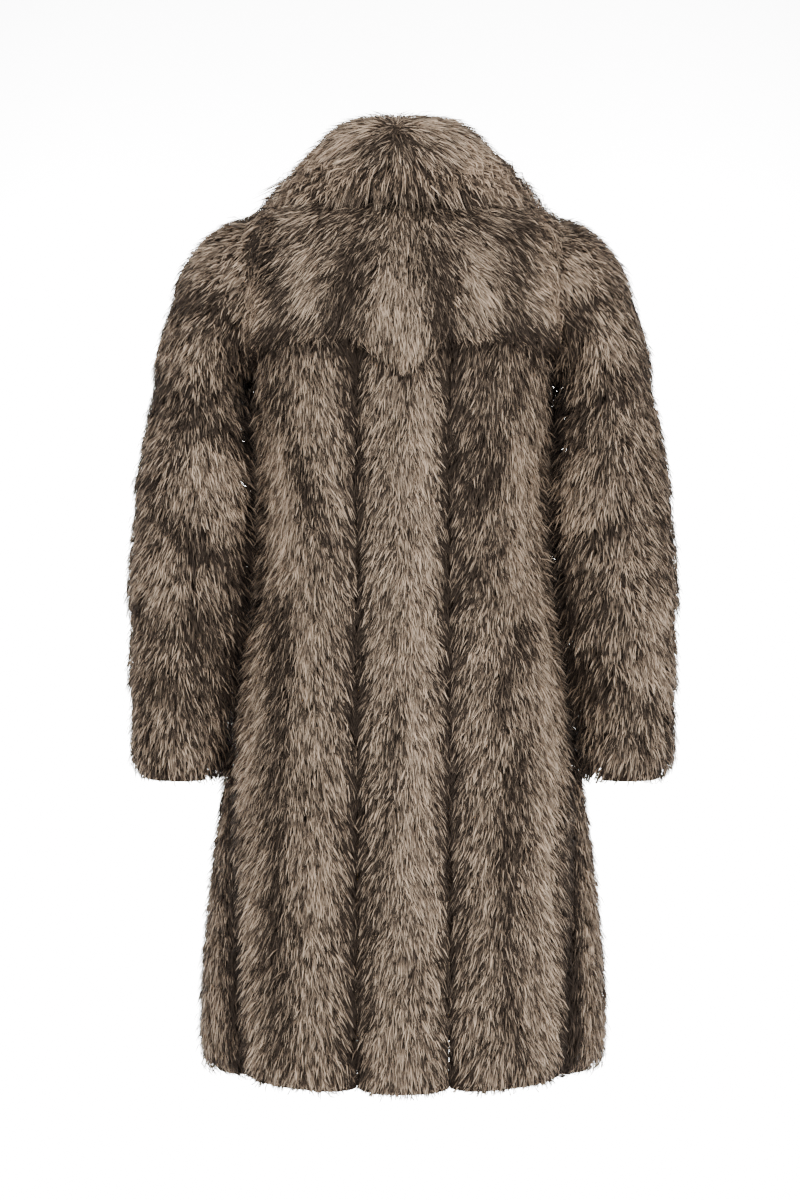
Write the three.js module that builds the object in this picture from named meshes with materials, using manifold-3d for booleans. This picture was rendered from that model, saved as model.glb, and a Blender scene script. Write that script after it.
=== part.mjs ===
// A knee-length coat of long-haired fur, worn shape with no wearer, in millimetres with Z up.
// The front of the coat faces -Y and its back faces +Y; +X is the wearer's left.
// The origin is in the middle of the neck opening, level with the nape.
// The coat is held there, by neck and shoulders.
// Every wall is pelt and fur together: its inside is the skin side, its outside is where the hair ends.
import * as THREE from "three";
import Module from "manifold-3d";

const wasm = await Module();
wasm.setup();

// Driving dimensions
const WALL = 22; // skin side to hair ends
const SEAM_GAP = 0.3;
const STRIP_BULGE = 12; // how far a strip of fur stands out above the grooves at its long seams
const CENTRE_STRIP_HALF = 55; // the middle strip of the back, from the centre line to its groove
const FRONT_STRIP_HALF = 74; // the strip along each front edge
const NECK_STRIP_SHARE = 0.6; // the most of the body's half width that this strip may take, near the neck
const HEM_CORNER_LIFT = 0.26; // how far the hem rises at a groove, as a share of the lowest row's height
const YOKE_OVERHANG = 12; // fur of the yoke that falls over the top of the back strips
const BAND_STEP = 7; // fur of each sleeve band that falls over the band below, on the outer side of the arm
const COLLAR_WALL = 20;
const COLLAR_EDGE_SHARE = 0.55; // of the collar's wall, at its thin outer edge
const COLLAR_EDGE_PULL = 3; // how far the hair at that edge bends in towards the shoulders
const COLLAR_SWELL = 6.3; // how far the fall of the collar rounds out between its fold and its edge
const COLLAR_FOLD_RADIUS = 22;
const HEM_ROUNDING = [9, 3.5, 0.8]; // how far the outer face turns in at the lowest rows of a strip
const CUFF_ROUNDING = 7;
const TURN_UNDER = 0.6; // of a rounded end's turn, on its skin side
const YOKE_TROUGH = 5; // depth of the hollows that part the lobes of the yoke

// Sections of the body from the hem up to the neck seam. The height of a section is given at the side, the
// back and the front, because the upper ones dip to the front neckline. power 2 is an ellipse, and more is
// squarer.
const BODY = [
  { side: -1024, back: -1030, front: -1025, halfWidth: 243, toBack: 188, toFront: 172, power: 2.15 },
  { side: -985, back: -990, front: -986, halfWidth: 245.5, toBack: 187, toFront: 171, power: 2.15 },
  { side: -930, back: -930, front: -930, halfWidth: 245, toBack: 185, toFront: 168, power: 2.15 },
  { side: -860, back: -860, front: -860, halfWidth: 239, toBack: 181, toFront: 164, power: 2.15 },
  { side: -780, back: -780, front: -780, halfWidth: 230, toBack: 175, toFront: 159, power: 2.15 },
  { side: -700, back: -700, front: -700, halfWidth: 218.5, toBack: 168, toFront: 154, power: 2.15 },
  { side: -620, back: -620, front: -620, halfWidth: 205, toBack: 162, toFront: 149, power: 2.15 },
  { side: -540, back: -540, front: -540, halfWidth: 191.5, toBack: 156, toFront: 145, power: 2.2 },
  { side: -470, back: -470, front: -470, halfWidth: 181, toBack: 150, toFront: 141, power: 2.2 },
  { side: -400, back: -400, front: -400, halfWidth: 175, toBack: 147, toFront: 139, power: 2.25 },
  { side: -330, back: -330, front: -330, halfWidth: 174, toBack: 145, toFront: 139, power: 2.3 },
  { side: -265, back: -265, front: -268, halfWidth: 178, toBack: 145, toFront: 140, power: 2.35 },
  { side: -205, back: -207, front: -218, halfWidth: 184, toBack: 145, toFront: 139, power: 2.4 },
  { side: -150, back: -155, front: -186, halfWidth: 191, toBack: 143, toFront: 136, power: 2.45 },
  { side: -100, back: -108, front: -165, halfWidth: 198, toBack: 137, toFront: 133, power: 2.5 },
  { side: -64, back: -70, front: -151, halfWidth: 202, toBack: 127, toFront: 131, power: 2.45 },
  { side: -37, back: -43, front: -141, halfWidth: 199, toBack: 116, toFront: 128, power: 2.4 },
  { side: -14, back: -22, front: -133, halfWidth: 184, toBack: 106, toFront: 125, power: 2.3 },
  { side: -1, back: -8, front: -127, halfWidth: 152, toBack: 97, toFront: 123, power: 2.2 },
  { side: 9, back: 1, front: -121, halfWidth: 118, toBack: 90, toFront: 121, power: 2.1 },
  { side: 16, back: 7, front: -116, halfWidth: 88, toBack: 85, toFront: 119, power: 2 },
];
const NECK = BODY.length - 1;
const UNDERARM = 12; // the section at the bottom of the armholes

// Half the angle that a side gore takes, seen from the coat's middle: narrow above, spreading to the hem.
const GORE = [
  { height: -1025, degrees: 32 },
  { height: -950, degrees: 29.7 },
  { height: -890, degrees: 27.6 },
  { height: -830, degrees: 24.3 },
  { height: -770, degrees: 19.6 },
  { height: -710, degrees: 13.5 },
  { height: -640, degrees: 8 },
  { height: -560, degrees: 6.5 },
];

// Lower edge of the yoke: a tongue at the centre back and two shallow scallops, by distance from the centre.
const YOKE_EDGE = [
  { across: 0, height: -211 },
  { across: 22, height: -198 },
  { across: 48, height: -177 },
  { across: 78, height: -173 },
  { across: 110, height: -172 },
  { across: 145, height: -176 },
  { across: 182, height: -184 },
];

// Hollows of the yoke, by how far across their middle lies and how wide each one is to either side.
const YOKE_TROUGHS = [
  { across: 66, half: 26 },
  { across: 140, half: 20 },
];

// Rings of the left sleeve, fanning round the underarm and then down to the cuff. Each runs from its outer
// point to its inner one; depth is half its size from front to back; bow lifts its front and back sides;
// backY is how far the arm hangs towards the back. edge marks the lower edge of a band of fur.
const SLEEVE = [
  { outerX: 168, outerZ: -8, innerX: 146, innerZ: -185, depth: 74, bow: 0, backY: 0 },
  { outerX: 197, outerZ: -13, innerX: 184, innerZ: -212, depth: 84, bow: 0, backY: 0 },
  { outerX: 223, outerZ: -23, innerX: 189, innerZ: -216, depth: 86, bow: 6, backY: 0 },
  { outerX: 246, outerZ: -46, innerX: 191, innerZ: -219, depth: 87, bow: 16, backY: 3 },
  { outerX: 263, outerZ: -74, innerX: 192, innerZ: -222, depth: 86, bow: 30, backY: 6 },
  { outerX: 276, outerZ: -108, innerX: 192, innerZ: -227, depth: 84, bow: 42, backY: 10, edge: true },
  { outerX: 286, outerZ: -142, innerX: 188, innerZ: -239, depth: 82, bow: 22, backY: 14 },
  { outerX: 294, outerZ: -174, innerX: 185, innerZ: -259, depth: 80, bow: 0, backY: 18 },
  { outerX: 300, outerZ: -207, innerX: 179.5, innerZ: -287, depth: 77, bow: -22, backY: 21, edge: true },
  { outerX: 307, outerZ: -248, innerX: 176.5, innerZ: -319, depth: 75, bow: -20, backY: 24 },
  { outerX: 315, outerZ: -298, innerX: 175, innerZ: -363, depth: 73, bow: -16, backY: 26 },
  { outerX: 323, outerZ: -352, innerX: 177, innerZ: -425, depth: 71, bow: -18, backY: 27, edge: true },
  { outerX: 329, outerZ: -404, innerX: 181, innerZ: -463, depth: 70, bow: -12, backY: 28 },
  { outerX: 329, outerZ: -449, innerX: 186, innerZ: -498, depth: 68, bow: -8, backY: 29 },
  { outerX: 329, outerZ: -492, innerX: 191.5, innerZ: -533, depth: 66, bow: -8, backY: 30, edge: true },
  { outerX: 328, outerZ: -540, innerX: 198, innerZ: -569, depth: 64, bow: -5, backY: 30 },
  { outerX: 328, outerZ: -585, innerX: 204.5, innerZ: -607, depth: 62, bow: -5, backY: 30, edge: true },
  { outerX: 328, outerZ: -626, innerX: 210.5, innerZ: -643, depth: 60, bow: 0, backY: 30 },
  { outerX: 324, outerZ: -658, innerX: 215.5, innerZ: -669, depth: 58, bow: 0, backY: 30 },
  { outerX: 318, outerZ: -682, innerX: 220, innerZ: -684, depth: 55, bow: 0, backY: 30 },
];

// Stations of the left half of the collar, from the centre back round to the centre front. foot is where the
// inner face meets the neck seam, and turn the direction that the collar falls in, from 0 to the back to 90
// to the side. crest is the height of the fold, reach and edge how far out and how high its outer edge lies.
const COLLAR = [
  { footX: 0, footY: 62, footZ: 0, turn: 0, crest: 95, reach: 60, edge: 3 },
  { footX: 25, footY: 57, footZ: 0, turn: 25, crest: 96, reach: 64, edge: 0 },
  { footX: 44, footY: 42, footZ: 4, turn: 50, crest: 94, reach: 80, edge: -3 },
  { footX: 56, footY: 20, footZ: 8, turn: 75, crest: 90, reach: 105, edge: -6 },
  { footX: 59, footY: -5, footZ: 8, turn: 95, crest: 81, reach: 120, edge: -10 },
  { footX: 60, footY: -32, footZ: -14, turn: 115, crest: 62, reach: 118, edge: -34 },
  { footX: 50, footY: -58, footZ: -44, turn: 135, crest: 30, reach: 104, edge: -84 },
  { footX: 34, footY: -80, footZ: -78, turn: 153, crest: -8, reach: 86, edge: -140 },
  { footX: 16, footY: -93, footZ: -104, turn: 168, crest: -40, reach: 74, edge: -184 },
  { footX: 0, footY: -97, footZ: -116, turn: 180, crest: -56, reach: 70, edge: -200 },
];

const lerp = (a, b, t) => a + (b - a) * t;
const clamp = (v, low, high) => Math.min(high, Math.max(low, v));
const radians = THREE.MathUtils.degToRad;

// A smooth hump of height 1 at 0 that is gone at 1 and beyond.
const bump = (x) => (Math.abs(x) < 1 ? (1 - x * x) ** 2 : 0);

// A column of a table at a place between its rows, on a smooth curve through them.
function along(table, place, column) {
  const row = clamp(Math.floor(place), 0, table.length - 2);
  const t = place - row;
  const value = (i) => table[clamp(i, 0, table.length - 1)][column];
  const [p, q, r, s] = [value(row - 1), value(row), value(row + 1), value(row + 2)];
  return q + 0.5 * t * (r - p + t * (2 * p - 5 * q + 4 * r - s + t * (3 * (q - r) + s - p)));
}

// A column of a table looked up by another, on straight lines between the rows.
function lookUp(table, key, at, column) {
  let row = table.findIndex((entry, i) => i > 0 && (entry[key] - at) * (table[0][key] - at) <= 0);
  if (row < 0) row = Math.abs(table[0][key] - at) < Math.abs(table.at(-1)[key] - at) ? 1 : table.length - 1;
  const [a, b] = [table[row - 1], table[row]];
  return lerp(a[column], b[column], clamp((at - a[key]) / (b[key] - a[key]), 0, 1));
}

// A point of the body's smooth outer form: level runs from 0 at the hem to NECK, turn is the angle from +X.
function bodyForm(level, turn) {
  const [c, s] = [Math.cos(turn), Math.sin(turn)];
  const width = along(BODY, level, "halfWidth");
  const deep = along(BODY, level, s >= 0 ? "toBack" : "toFront");
  const power = along(BODY, level, "power");
  const radius = (Math.abs(c / width) ** power + Math.abs(s / deep) ** power) ** (-1 / power);
  const side = along(BODY, level, "side");
  const far = along(BODY, level, s >= 0 ? "back" : "front");
  return new THREE.Vector3(radius * c, radius * s, side + (far - side) * s * s);
}

// The same point moved in by inset, square to the surface.
function bodyPoint(level, turn, inset = 0) {
  const step = 0.01;
  const round = bodyForm(level, turn + step).sub(bodyForm(level, turn - step));
  const [low, high] = [Math.max(level - step, 0), Math.min(level + step, NECK)];
  const up = bodyForm(high, turn).sub(bodyForm(low, turn));
  return bodyForm(level, turn).addScaledVector(round.cross(up).normalize(), -inset);
}

// The level at which the body reaches a height, at that angle.
function levelAt(height, turn) {
  let [low, high] = [0, NECK];
  for (let i = 0; i < 30; i++) {
    const middle = (low + high) / 2;
    if (bodyForm(middle, turn).z < height) low = middle;
    else high = middle;
  }
  return (low + high) / 2;
}

// The angle of the line on the back (facing 1) or front (facing -1) that lies so far across from the centre.
function turnAt(level, across, facing) {
  let [low, high] = [0, Math.PI / 2];
  for (let i = 0; i < 30; i++) {
    const middle = (low + high) / 2;
    if (bodyForm(level, facing * middle).x > across) low = middle;
    else high = middle;
  }
  return facing * high;
}

const goreTurn = (level) => radians(lookUp(GORE, "height", along(BODY, level, "side"), "degrees"));

// How far the fur of a strip stands in from its crest: nothing in the middle, STRIP_BULGE at both long seams.
const stripInset = (t) => STRIP_BULGE * Math.abs(2 * t - 1) ** 3.5;

// A closed wall from two grids of points, grid[column][row], the outer one and the inner one behind it.
// Columns run round to the right as seen from outside's left to right and rows run up.
function wall(outer, inner, ring = false) {
  const [columns, rows] = [outer.length, outer[0].length];
  const points = [...outer.flat(), ...inner.flat()];
  const faces = [];
  const at = (side, column, row) => side * columns * rows + (column % columns) * rows + row;
  const quad = (a, b, c, d) => faces.push(a, b, c, a, c, d);
  const last = ring ? columns : columns - 1;
  for (let i = 0; i < last; i++) {
    for (let j = 0; j < rows - 1; j++) {
      quad(at(0, i, j), at(0, i + 1, j), at(0, i + 1, j + 1), at(0, i, j + 1));
      quad(at(1, i, j), at(1, i, j + 1), at(1, i + 1, j + 1), at(1, i + 1, j));
    }
    quad(at(0, i, 0), at(1, i, 0), at(1, i + 1, 0), at(0, i + 1, 0));
    quad(at(0, i, rows - 1), at(0, i + 1, rows - 1), at(1, i + 1, rows - 1), at(1, i, rows - 1));
  }
  for (let j = 0; j < rows - 1 && !ring; j++) {
    quad(at(0, 0, j), at(0, 0, j + 1), at(1, 0, j + 1), at(1, 0, j));
    quad(at(0, last, j), at(1, last, j), at(1, last, j + 1), at(0, last, j + 1));
  }
  return solid(points, faces);
}

// A closed solid from rings of points, one above the other, with a fan over each end.
function filled(rings) {
  const count = rings[0].length;
  const middle = (ring) => ring.reduce((sum, p) => sum.add(p), new THREE.Vector3()).divideScalar(count);
  const points = [...rings.flat(), middle(rings[0]), middle(rings.at(-1))];
  const faces = [];
  for (let k = 0; k < count; k++) {
    const next = (k + 1) % count;
    for (let j = 0; j < rings.length - 1; j++) {
      const [a, b, c, d] = [j * count + k, j * count + next, (j + 1) * count + next, (j + 1) * count + k];
      faces.push(a, b, c, a, c, d);
    }
    const top = (rings.length - 1) * count;
    faces.push(points.length - 2, next, k, points.length - 1, top + k, top + next);
  }
  return solid(points, faces);
}

// A solid from points and triangles, with its faces turned out.
function solid(points, faces) {
  const vertProperties = new Float32Array(points.flatMap((p) => [p.x, p.y, p.z]));
  const triVerts = new Uint32Array(faces);
  const made = new wasm.Manifold(new wasm.Mesh({ numProp: 3, vertProperties, triVerts }));
  return made.volume() < 0 ? solid(points, faces.toReversed()) : made;
}

// The largest body of a solid, without the loose slivers that a cut can leave.
function largest(cut) {
  return cut.decompose().sort((a, b) => b.volume() - a.volume())[0];
}

const mirrored = (shape) => shape.mirror([1, 0, 0]);

// Levels at which every strip of the body has a row of points, so that neighbours match along their seams
const HEM_ROWS = [0, 0.08, 0.3, 0.8];
const BODY_ROWS = [1.6, 2.6, 3.6, 4.6, 5.6, 6.6, 7.6, 8.6, 9.6, 10.4, 11];
// Shares of a strip's width at which it has a column of points, closest at the seams
const NARROW = [0, 0.06, 0.24, 0.5, 0.76, 0.94, 1];
const BROAD = [0, 0.045, 0.16, 0.33, 0.5, 0.67, 0.84, 0.955, 1];
const SEAM_SHARE = SEAM_GAP / 2 / 50; // half of the gap at the yoke's seam, as a share of a section's height

const steps = (count) => Array.from({ length: count + 1 }, (_, i) => i / count);
const hemLift = (t) => HEM_CORNER_LIFT * Math.abs(2 * t - 1) ** 4;

// One strip of the body between two seams, whose angles are left(level) and right(level). ends(t) gives the
// levels of its rows above the shared ones, and inset(t, level) how far its fur stands in from the form.
function strip(left, right, shares, ends, inset) {
  const [outer, inner] = [[], []];
  for (const t of shares) {
    const lift = hemLift(t);
    const levels = [...HEM_ROWS.map((row) => row + lift * (1 - row / 4)), ...BODY_ROWS, ...ends(t)];
    const side = t === 0 ? 1 : t === 1 ? -1 : 0;
    const columns = levels.map((level, row) => {
      const turn = lerp(left(level), right(level), t);
      const gap = new THREE.Vector3(-Math.sin(turn), Math.cos(turn), 0).multiplyScalar((side * SEAM_GAP) / 2);
      const rounding = HEM_ROUNDING[row] ?? 0;
      return [
        bodyPoint(level, turn, inset(t, level) + rounding).add(gap),
        bodyPoint(level, turn, WALL - rounding * TURN_UNDER).add(gap),
      ];
    });
    outer.push(columns.map((pair) => pair[0]));
    inner.push(columns.map((pair) => pair[1]));
  }
  return wall(outer, inner);
}

// The level of the yoke's seam at an angle on the back.
function yokeLevel(turn) {
  const across = Math.abs(bodyForm(UNDERARM, turn).x);
  return levelAt(lookUp(YOKE_EDGE, "across", across, "height"), turn);
}

// Where a column of a back strip meets the yoke's seam.
function yokeMeeting(left, right, t) {
  let level = UNDERARM;
  let turn = 0;
  for (let i = 0; i < 8; i++) {
    turn = lerp(left(level), right(level), t);
    level = yokeLevel(turn);
  }
  return { turn, level };
}

const centreSeam = (level) => turnAt(level, CENTRE_STRIP_HALF, 1);
const farCentreSeam = (level) => Math.PI - centreSeam(level);
const neckStripHalf = (level) => NECK_STRIP_SHARE * along(BODY, level, "halfWidth");
const frontStripHalf = (level) => Math.min(FRONT_STRIP_HALF, neckStripHalf(level));
const frontSeam = (level) => turnAt(level, frontStripHalf(level), -1);

function backCentre() {
  const ends = (t) => {
    const top = yokeMeeting(centreSeam, farCentreSeam, t).level - SEAM_SHARE;
    return [lerp(11, top, 0.6), top];
  };
  return strip(centreSeam, farCentreSeam, NARROW, ends, stripInset);
}

function backSide() {
  const ends = (t) => {
    const top = yokeMeeting(goreTurn, centreSeam, t).level - SEAM_SHARE;
    return [lerp(UNDERARM, lerp(11, top, 0.6), t), top];
  };
  return strip(goreTurn, centreSeam, BROAD, ends, stripInset);
}

function sideGore() {
  return strip((level) => -goreTurn(level), goreTurn, NARROW, () => [UNDERARM], stripInset);
}

const FRONT_TOP_ROWS = [UNDERARM, ...steps(12).map((share) => lerp(UNDERARM, NECK, share)).slice(1)];

// Above the underarm the side strip of the front widens to the shoulder seam.
function frontSide() {
  const right = (level) => -goreTurn(level) * clamp(UNDERARM + 1 - level, 0, 1);
  const inset = (t, level) => stripInset(t) * (t > 0.5 ? clamp((UNDERARM + 3 - level) / 3, 0.2, 1) : 1);
  return strip(frontSeam, right, BROAD, () => FRONT_TOP_ROWS, inset);
}

function frontEdge() {
  return strip(() => -Math.PI / 2, frontSeam, NARROW, () => FRONT_TOP_ROWS, stripInset);
}

// The yoke lies over the whole upper back, from one shoulder seam to the other and up to the neck seam. It
// has its columns where the back strips have theirs.
function yoke() {
  const half = [
    { turn: 0, level: yokeLevel(0) },
    ...BROAD.map((t) => yokeMeeting(goreTurn, centreSeam, t)),
    ...NARROW.slice(1, 3).map((t) => yokeMeeting(centreSeam, farCentreSeam, t)),
  ];
  const centre = yokeMeeting(centreSeam, farCentreSeam, 0.5);
  const far = half.toReversed().map(({ turn, level }) => ({ turn: Math.PI - turn, level }));
  const rows = [0, 0.02, 0.08, 0.2, 0.35, 0.5, 0.64, 0.76, 0.88, 1];
  const hang = [0.3, 1, 1, 0.55, 0.2, 0, 0, 0, 0, 0];
  const [outer, inner] = [[], []];
  for (const { turn, level } of [...half, centre, ...far]) {
    const atShoulder = Math.abs(Math.cos(turn)) === 1 ? 1 : 0;
    const gap = new THREE.Vector3(0, (atShoulder * SEAM_GAP) / 2, 0);
    const across = Math.abs(bodyForm(UNDERARM, turn).x);
    const troughs = YOKE_TROUGHS.map((at) => YOKE_TROUGH * bump((across - at.across) / at.half));
    const trough = troughs.reduce((sum, deep) => sum + deep);
    const place = (row) => lerp(level + SEAM_SHARE, NECK, row);
    outer.push(
      rows.map((row, i) => {
        const inset = trough * clamp(1.2 - row * 1.6, 0, 1) - YOKE_OVERHANG * hang[i] * (1 - atShoulder);
        return bodyPoint(place(row), turn, inset).add(gap);
      }),
    );
    inner.push(rows.map((row) => bodyPoint(place(row), turn, WALL).add(gap)));
  }
  return wall(outer, inner);
}

const CUFF = SLEEVE.length - 1;
const EDGES = SLEEVE.flatMap((ring, i) => (ring.edge ? [i] : []));

// A point of the left sleeve's form. place runs down the rings and turn round them, from the outer point over
// the back; inset moves it in towards the middle.
function sleevePoint(place, turn, inset = 0) {
  const outer = new THREE.Vector3(along(SLEEVE, place, "outerX"), 0, along(SLEEVE, place, "outerZ"));
  const inner = new THREE.Vector3(along(SLEEVE, place, "innerX"), 0, along(SLEEVE, place, "innerZ"));
  const middle = outer.clone().add(inner).divideScalar(2);
  const spoke = outer.clone().sub(middle);
  const half = spoke.length();
  const [c, s] = [Math.cos(turn), Math.sin(turn)];
  const [depth, bow, backY] = ["depth", "bow", "backY"].map((name) => along(SLEEVE, place, name));
  return middle
    .addScaledVector(spoke.normalize(), (half - inset) * c)
    .add(new THREE.Vector3(0, backY + (depth - inset) * s, bow * s * s));
}

// Each band of the sleeve thickens down to its lower edge and drops to the next band in one step, which is
// smaller on the side next to the body.
function bandInset(place, turn) {
  const above = EDGES.filter((edge) => edge <= place).at(-1);
  if (above === undefined) return 0;
  const below = EDGES.find((edge) => edge > place) ?? CUFF;
  const share = 1 - clamp((place - above) / (below - above) / 0.75, 0, 1);
  return BAND_STEP * (0.65 + 0.35 * Math.cos(turn)) * share ** 1.5;
}

function sleeve() {
  const stops = [1, ...EDGES, CUFF - 0.5];
  const places = [0];
  for (let band = 0; band < stops.length - 1; band++) {
    const [from, to] = [stops[band], stops[band + 1]];
    const shares = band === 0 ? [0, 0.25, 0.5, 0.75, 0.97] : [0.05, 0.28, 0.6, 0.97];
    places.push(...shares.map((share) => lerp(from, to, share)));
  }
  places.push(CUFF - 0.12, CUFF);
  const cuffRound = (place) => clamp((place - CUFF + 0.5) / 0.5, 0, 1) ** 2;
  const turns = steps(20).slice(0, -1).map((share) => -share * 2 * Math.PI);
  const outset = (place, turn) => bandInset(place, turn) + CUFF_ROUNDING * cuffRound(place);
  const skin = (place) => WALL - CUFF_ROUNDING * TURN_UNDER * cuffRound(place);
  const rising = places.toReversed();
  const outer = turns.map((turn) => rising.map((place) => sleevePoint(place, turn, outset(place, turn))));
  const inner = turns.map((turn) => rising.map((place) => sleevePoint(place, turn, skin(place))));
  return wall(outer, inner, true);
}

// The space that a sleeve fills, grown by grow, for cutting the armhole.
function sleeveSpace(grow) {
  const turns = steps(40).slice(0, -1).map((share) => share * 2 * Math.PI);
  const places = [0, 0.5, 1, 1.5, 2, 3, 4];
  return filled(places.map((place) => turns.map((turn) => sleevePoint(place, turn, -grow))).reverse());
}

// The space inside the body's form moved in by inset, closed over the neck and the hem.
function bodySpace(inset, fromLevel) {
  const turns = steps(72).slice(0, -1).map((share) => share * 2 * Math.PI);
  const rings = [];
  for (let level = fromLevel; level <= NECK; level += 0.5) {
    rings.push(turns.map((turn) => bodyPoint(level, turn, inset)));
  }
  return filled(rings);
}

// Half of the collar's outer outline at a station: up the inner face, over the fold and down the fall.
function collarSection(place) {
  const foot = new THREE.Vector3(...["footX", "footY", "footZ"].map((name) => along(COLLAR, place, name)));
  const turn = radians(along(COLLAR, place, "turn"));
  const out = new THREE.Vector3(Math.sin(turn), Math.cos(turn), 0);
  const [crest, reach, edge] = ["crest", "reach", "edge"].map((name) => along(COLLAR, place, name));
  const radius = COLLAR_FOLD_RADIUS;
  const shoulder = crest - radius - foot.z; // height of the inner face
  const flat = [];
  for (const share of [0, 0.5, 1]) flat.push([0, lerp(-6, shoulder, share)]);
  for (const degrees of [150, 120, 90, 60, 30]) {
    const angle = radians(degrees);
    flat.push([radius + radius * Math.cos(angle), shoulder + radius * Math.sin(angle)]);
  }
  for (const share of [0.15, 0.4, 0.65, 0.85, 1]) {
    const swell = COLLAR_SWELL * Math.sin(Math.PI * share);
    flat.push([lerp(2 * radius, reach, share) + swell, lerp(shoulder, edge - foot.z, share) + swell]);
  }
  return { foot, out, flat };
}

// Both faces of the collar's wall at a station.
function collarColumn(place, side) {
  const { foot, out, flat } = collarSection(place);
  const [outer, inner] = [[], []];
  for (const [i, [x, z]] of flat.entries()) {
    const [before, after] = [flat[Math.max(i - 1, 0)], flat[Math.min(i + 1, flat.length - 1)]];
    const [dx, dz] = [after[0] - before[0], after[1] - before[1]];
    const length = Math.hypot(dx, dz);
    const atEdge = i === flat.length - 1;
    const thick = atEdge ? COLLAR_WALL * COLLAR_EDGE_SHARE : COLLAR_WALL;
    const pull = atEdge ? COLLAR_EDGE_PULL : 0;
    const put = (u, w) => {
      const point = foot.clone().addScaledVector(out, u);
      point.z += w;
      point.x = side * Math.max(point.x, place > 1 ? 2 : 0);
      return point;
    };
    outer.push(put(x + (dz / length) * pull, z - (dx / length) * pull));
    inner.push(put(x + (dz / length) * thick, z - (dx / length) * thick));
  }
  return [outer, inner];
}

function collar() {
  const half = steps(15).map((share) => share * (COLLAR.length - 1));
  const columns = [
    ...half.toReversed().map((place) => collarColumn(place, -1)),
    ...half.slice(1).map((place) => collarColumn(place, 1)),
  ];
  return wall(
    columns.map((column) => column[0]),
    columns.map((column) => column[1]),
  );
}

const FUR = {
  middle: new THREE.Color(0x8a7a6b),
  dark: new THREE.Color(0x6f6156),
  pale: new THREE.Color(0x9a8a7a),
};

// A named mesh of the fur's colour from a solid.
function node(name, shape, color) {
  const mesh = shape.getMesh();
  const geometry = new THREE.BufferGeometry();
  geometry.setAttribute("position", new THREE.BufferAttribute(new Float32Array(mesh.vertProperties), 3));
  geometry.setIndex(new THREE.BufferAttribute(new Uint32Array(mesh.triVerts), 1));
  geometry.computeVertexNormals();
  const finish = new THREE.MeshStandardMaterial({ color, roughness: 0.85, metalness: 0 });
  const piece = new THREE.Mesh(geometry, finish);
  piece.name = name;
  return piece;
}

const armhole = sleeveSpace(SEAM_GAP);
const bodyInside = bodySpace(WALL, 6);
const bodyOutside = bodySpace(-0.6, 6);

const leftPieces = {
  back_side: [largest(backSide().subtract(armhole)), FUR.middle],
  side_gore: [largest(sideGore().subtract(armhole)), FUR.dark],
  front_side: [largest(frontSide().subtract(armhole)), FUR.middle],
  front_edge: [frontEdge(), FUR.pale],
  sleeve: [largest(sleeve().subtract(bodyInside)), FUR.middle],
};

const coat = new THREE.Group();
for (const [name, [shape, color]] of Object.entries(leftPieces)) {
  coat.add(node(name + "_left", shape, color), node(name + "_right", mirrored(shape), color));
}
coat.add(
  node("back_centre", backCentre(), FUR.pale),
  node("yoke", largest(yoke().subtract(armhole).subtract(mirrored(armhole))), FUR.dark),
  node("collar", largest(collar().subtract(bodyOutside)), FUR.pale),
);

export default coat;
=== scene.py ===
import math

import bpy
import numpy as np
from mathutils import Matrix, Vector
from mathutils.bvhtree import BVHTree


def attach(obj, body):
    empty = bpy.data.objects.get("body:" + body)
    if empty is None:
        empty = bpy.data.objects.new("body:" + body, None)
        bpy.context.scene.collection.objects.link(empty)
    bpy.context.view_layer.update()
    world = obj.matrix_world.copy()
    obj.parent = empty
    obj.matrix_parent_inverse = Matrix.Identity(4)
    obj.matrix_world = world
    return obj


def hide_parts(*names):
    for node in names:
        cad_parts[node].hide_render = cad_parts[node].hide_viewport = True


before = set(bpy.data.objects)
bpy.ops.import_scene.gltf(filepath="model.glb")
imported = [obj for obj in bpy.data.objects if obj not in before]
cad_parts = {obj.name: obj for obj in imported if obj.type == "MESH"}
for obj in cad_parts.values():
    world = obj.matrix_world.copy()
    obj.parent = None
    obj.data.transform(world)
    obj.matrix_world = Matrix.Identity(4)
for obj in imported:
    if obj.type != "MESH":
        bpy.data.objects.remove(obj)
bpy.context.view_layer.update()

# Pelts: thirteen skins, tanned and sewn edge to edge, carry the fur. Each is a
# sheet of suede-like leather about 2 mm thick on the inner side of its wall.
# Its inner face shows in the hem, the cuffs and the neck.
ARM_LINE = np.array([  # middle of the left sleeve, across and up
    (0.150, -0.120), (0.190, -0.115), (0.216, -0.135), (0.232, -0.175), (0.243, -0.240),
    (0.247, -0.330), (0.254, -0.420), (0.262, -0.500), (0.270, -0.600), (0.273, -0.690),
])
PELT_SHARE = 0.1  # of the wall, from its skin side

SIDES = ("left", "right")


def welded(node):
    """A CAD solid's corners and triangles, its loose corners joined where they fall together."""
    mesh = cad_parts[node].data
    mesh.calc_loop_triangles()
    corner = np.zeros(len(mesh.vertices) * 3)
    mesh.vertices.foreach_get("co", corner)
    face = np.zeros(len(mesh.loop_triangles) * 3, np.int64)
    mesh.loop_triangles.foreach_get("vertices", face)
    corner = corner.reshape(-1, 3)
    _, first, same = np.unique(np.round(corner, 6), axis=0, return_index=True, return_inverse=True)
    face = same.ravel()[face].reshape(-1, 3)
    whole = (face[:, 0] != face[:, 1]) & (face[:, 1] != face[:, 2]) & (face[:, 2] != face[:, 0])
    return corner[first], face[whole]


def unit(v):
    """Each vector divided by its length."""
    return v / np.maximum(np.linalg.norm(v, axis=-1, keepdims=True), 1e-12)


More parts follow.
